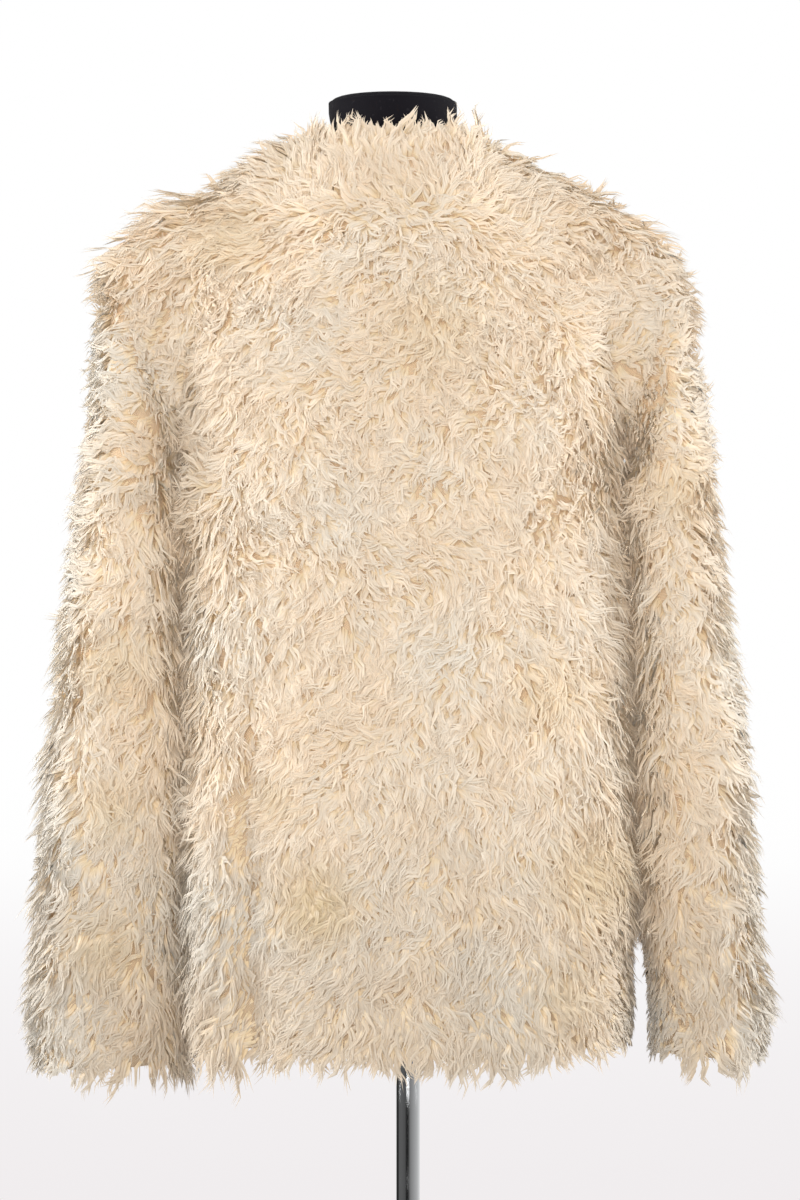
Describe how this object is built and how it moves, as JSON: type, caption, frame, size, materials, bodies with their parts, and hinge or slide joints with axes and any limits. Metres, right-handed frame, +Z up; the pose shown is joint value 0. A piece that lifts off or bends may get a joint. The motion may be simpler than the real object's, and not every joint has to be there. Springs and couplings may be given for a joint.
{
  "type": "shaggy pile coat on a dress form stand",
  "caption": "Hip-length collarless coat of shaggy cream pile with long sleeves, worn by a limbless black dress form on a chrome pole with a round base.",
  "frame": {"origin": "middle of the underside of the stand's base, on the floor", "axes": "+Z up; the coat's front faces -Y and its back +Y; the wearer's left is +X"},
  "size_m": [0.58, 0.3, 1.174],
  "materials": {
    "pile": "long wavy cream locks with soft sheen over a knitted ground",
    "jersey": "black jersey drawn smooth over the form",
    "chrome": "polished chrome plate"
  },
  "bodies": {
    "root": {"coat_back": "pile", "coat_front_left": "pile", "coat_front_right": "pile", "sleeve_left": "pile", "sleeve_right": "pile", "form_torso": "jersey", "form_flange": "chrome", "pole_socket": "chrome", "pole": "chrome", "pole_collar": "chrome", "base": "chrome"}
  },
  "joints": []
}
